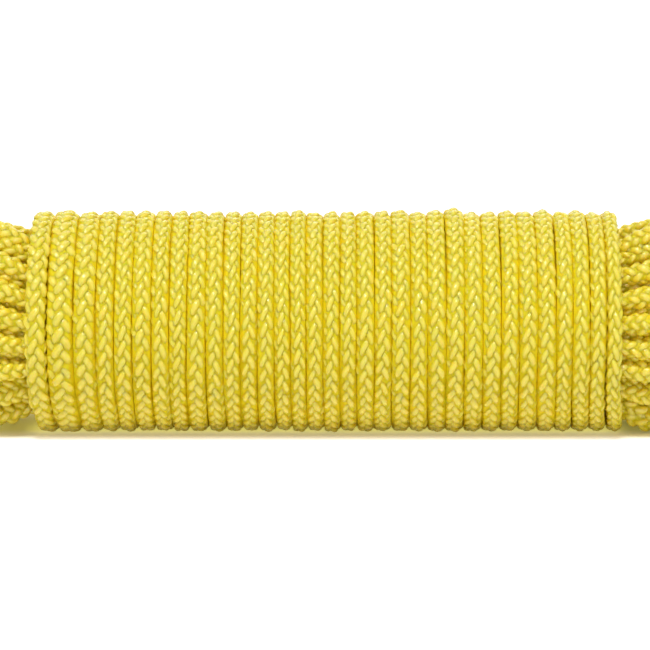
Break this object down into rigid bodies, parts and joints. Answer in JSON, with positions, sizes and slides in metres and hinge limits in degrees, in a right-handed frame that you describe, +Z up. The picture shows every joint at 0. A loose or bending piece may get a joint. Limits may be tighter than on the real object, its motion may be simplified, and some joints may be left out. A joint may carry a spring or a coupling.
{
  "type": "fishing line hank",
  "caption": "Hank of yellow braided line without a spool: rows of long loops held together by close turns of the same line, with end loops and melted line ends.",
  "frame": {"origin": "on the surface that the hank lies on, under the middle of its length and width", "axes": "+X along the hank towards its tucked end, +Y away from the side that is shown, +Z up"},
  "size_m": [0.0896, 0.0265, 0.0262],
  "materials": {
    "line": "glossy multifilament braid, lemon yellow",
    "sealed_end": "melted bead, amber yellow"
  },
  "bodies": {
    "root": {"wrap_turns_left": "line", "wrap_turns_middle": "line", "wrap_turns_right": "line", "outer_loops_upper": "line", "outer_loops_lower": "line", "inner_loops_row_1": "line", "inner_loops_row_2": "line", "inner_loops_row_3": "line", "inner_loops_row_4": "line", "inner_loops_row_5": "line", "inner_loops_row_6": "line", "inner_loops_row_7": "line", "inner_loops_row_8": "line", "lead_over": "line", "tucked_tail": "line", "finish_tip": "sealed_end", "line_start": "line", "start_tip": "sealed_end"}
  },
  "joints": []
}
